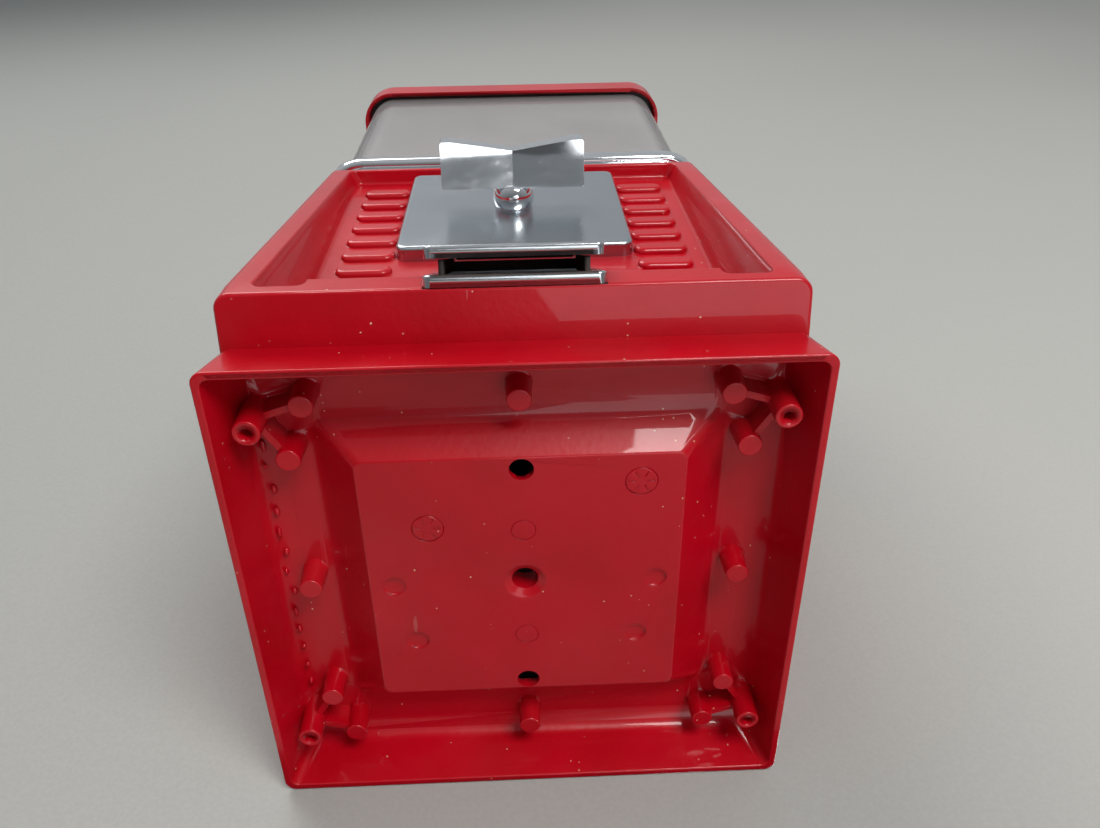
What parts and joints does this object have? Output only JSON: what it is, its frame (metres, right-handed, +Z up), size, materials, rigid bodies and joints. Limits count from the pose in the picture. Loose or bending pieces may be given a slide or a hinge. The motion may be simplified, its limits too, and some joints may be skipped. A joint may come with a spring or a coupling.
{
  "type": "capsule toy machine",
  "caption": "Counter-top capsule vending machine: red cast body, clear square globe, coin mechanism with wing handle and chute flap.",
  "frame": {"origin": "on the table under the middle of the machine's box, handle included", "axes": "+Z up through the globe, front with the handle towards -Y, +X to the machine's right as seen from the front"},
  "size_m": [0.1838, 0.205, 0.3606],
  "materials": {
    "red_paint": "gloss",
    "chrome": "mirror polish",
    "zinc": "as cast",
    "steel": "zinc plated",
    "clear": "clear polycarbonate",
    "rubber": "matt",
    "white_plastic": "moulded",
    "grey_plastic": "moulded",
    "bristle": "nylon bristle",
    "lock_brass": "machined"
  },
  "bodies": {
    "machine": {"base_pan": "red_paint", "body_shell": "red_paint", "mech_face_plate": "chrome", "mech_housing": "zinc", "pawl_pin": "steel", "pawl_spring": "steel", "wheel_seat": "grey_plastic", "wheel_bush": "white_plastic", "wheel_cap": "white_plastic", "drop_cover": "grey_plastic", "brush": "bristle", "centre_rod": "steel", "rod_keeper": "steel", "rod_nut": "steel", "chute_frame": "chrome", "door_hinge_pin": "steel", "inner_chute": "grey_plastic", "coin_slide": "zinc", "cash_box": "grey_plastic", "lower_gasket": "rubber", "globe": "clear", "trim_ring": "chrome", "upper_gasket": "rubber", "body_screws": "steel", "seat_screws": "steel", "mech_studs": "steel"},
    "handle": {"wing_handle": "chrome", "handle_shaft": "steel", "shaft_collar": "chrome", "coin_carrier": "zinc", "ratchet_disc": "zinc", "drive_pinion": "zinc", "shaft_nut": "steel"},
    "wheel": {"product_wheel": "white_plastic"},
    "pawl": {"ratchet_pawl": "zinc"},
    "door": {"chute_door": "chrome"},
    "lid": {"lid": "red_paint", "lock_housing": "chrome"},
    "lock": {"lock_cylinder": "lock_brass", "lock_cam": "lock_brass"}
  },
  "joints": [
    {"name": "handle_turn", "type": "hinge", "parent": "machine", "child": "handle", "pos_m": [0, -0.0765, 0.132], "axis": [0, 1, 0], "continuous": true},
    {"name": "wheel_turn", "type": "hinge", "parent": "machine", "child": "wheel", "pos_m": [0, 0.0105, 0.159], "axis": [0, 0, 1], "continuous": true},
    {"name": "pawl_swing", "type": "hinge", "parent": "machine", "child": "pawl", "pos_m": [-0.0195, -0.0632, 0.115], "axis": [0, 1, 0], "range_deg": [0, 12], "stiffness_Nm_per_rad": 0.01, "springref_deg": -17.19},
    {"name": "door_swing", "type": "hinge", "parent": "machine", "child": "door", "pos_m": [0, -0.08021, 0.07237], "axis": [-1, 0, 0], "range_deg": [0, 60]},
    {"name": "lid_lift", "type": "slide", "parent": "machine", "child": "lid", "axis": [0, 0, 1], "range_m": [0, 0.05]},
    {"name": "lock_turn", "type": "hinge", "parent": "lid", "child": "lock", "pos_m": [0, 0.0105, 0.355], "axis": [0, 0, 1], "range_deg": [0, 90]}
  ],
  "couplings": [
    {"joint": "wheel_turn", "follows": "handle_turn", "ratio": 0.16667}
  ]
}
